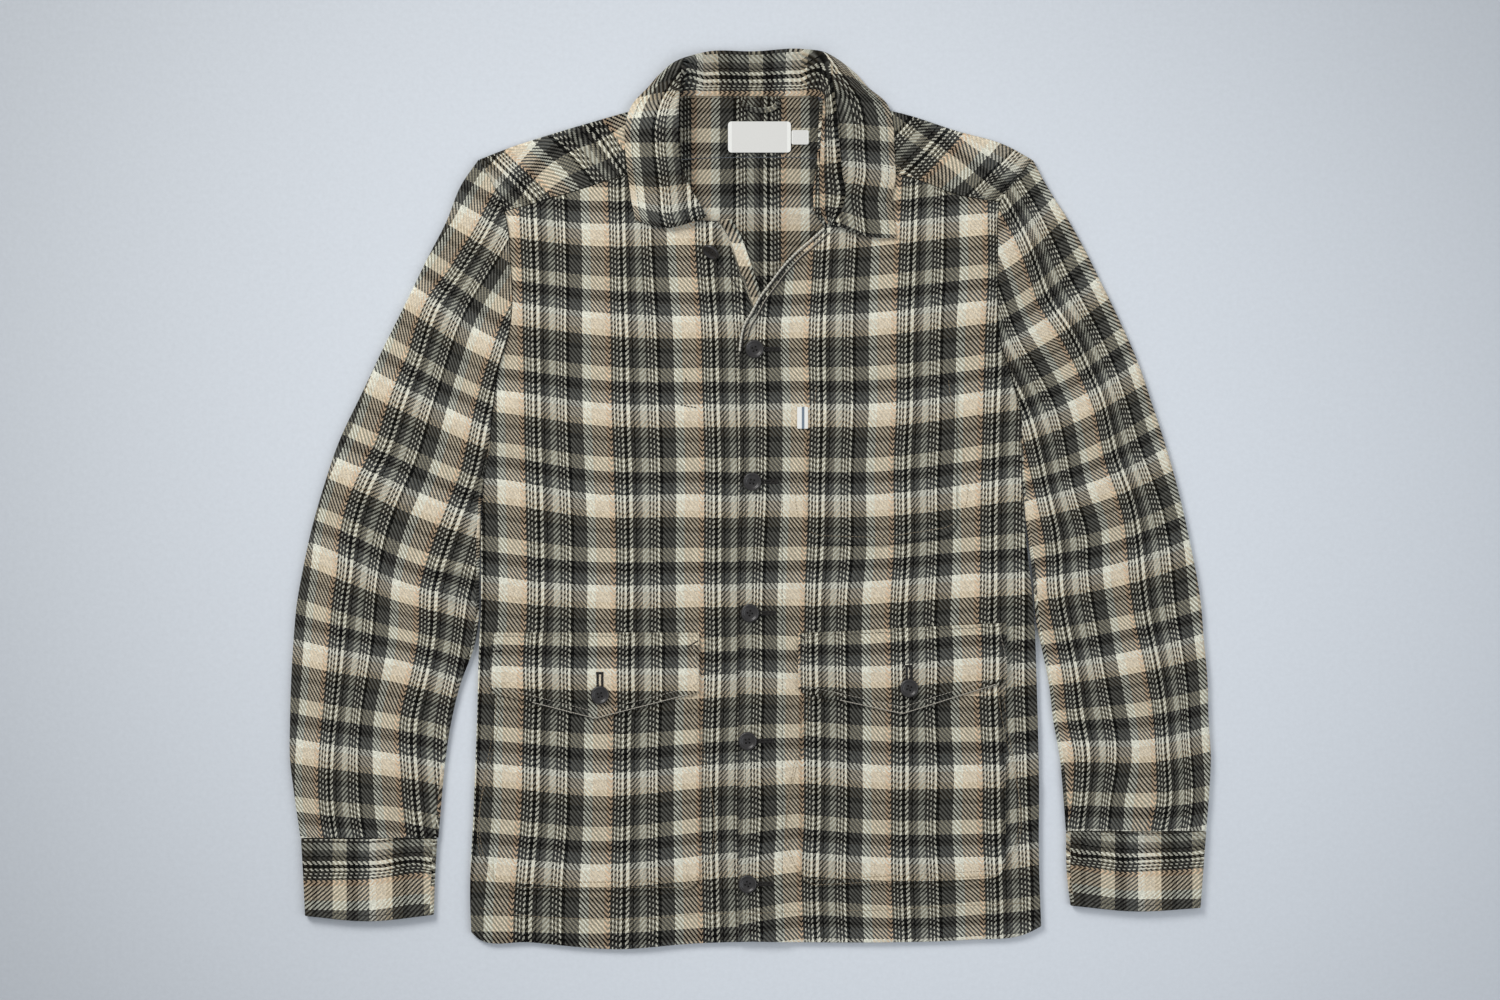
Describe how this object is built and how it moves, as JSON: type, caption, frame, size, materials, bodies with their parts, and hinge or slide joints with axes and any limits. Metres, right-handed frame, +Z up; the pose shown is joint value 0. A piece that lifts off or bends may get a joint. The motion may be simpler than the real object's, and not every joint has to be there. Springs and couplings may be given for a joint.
{
  "type": "chore coat",
  "caption": "Plaid wool chore coat laid flat on its back, front buttoned and neck open, with patch pockets, flaps, a shirt collar, long sleeves and cuffs.",
  "frame": {"origin": "bottom centre of the coat's box, on the surface it lies on", "axes": "+X to the wearer's left, +Y towards the collar, +Z up from the surface out of the coat's front"},
  "size_m": [0.8024, 0.781, 0.0222],
  "materials": {
    "plaid_wool": "napped wool twill",
    "dark_horn": "satin",
    "woven_label": "woven ribbon"
  },
  "bodies": {
    "root": {"back_panel": "plaid_wool", "yoke": "plaid_wool", "front_right": "plaid_wool", "front_left": "plaid_wool", "collar": "plaid_wool", "sleeve_right": "plaid_wool", "sleeve_left": "plaid_wool", "cuff_right": "plaid_wool", "cuff_left": "plaid_wool", "chest_pocket": "plaid_wool", "hip_pocket_right": "plaid_wool", "hip_pocket_left": "plaid_wool", "flap_right": "plaid_wool", "flap_left": "plaid_wool", "hanging_loop": "plaid_wool", "button_neck": "dark_horn", "button_front_1": "dark_horn", "button_front_2": "dark_horn", "button_front_3": "dark_horn", "button_front_4": "dark_horn", "button_front_5": "dark_horn", "button_flap_right": "dark_horn", "button_flap_left": "dark_horn", "neck_label": "woven_label", "size_tab": "woven_label", "pocket_tab": "woven_label"}
  },
  "joints": []
}
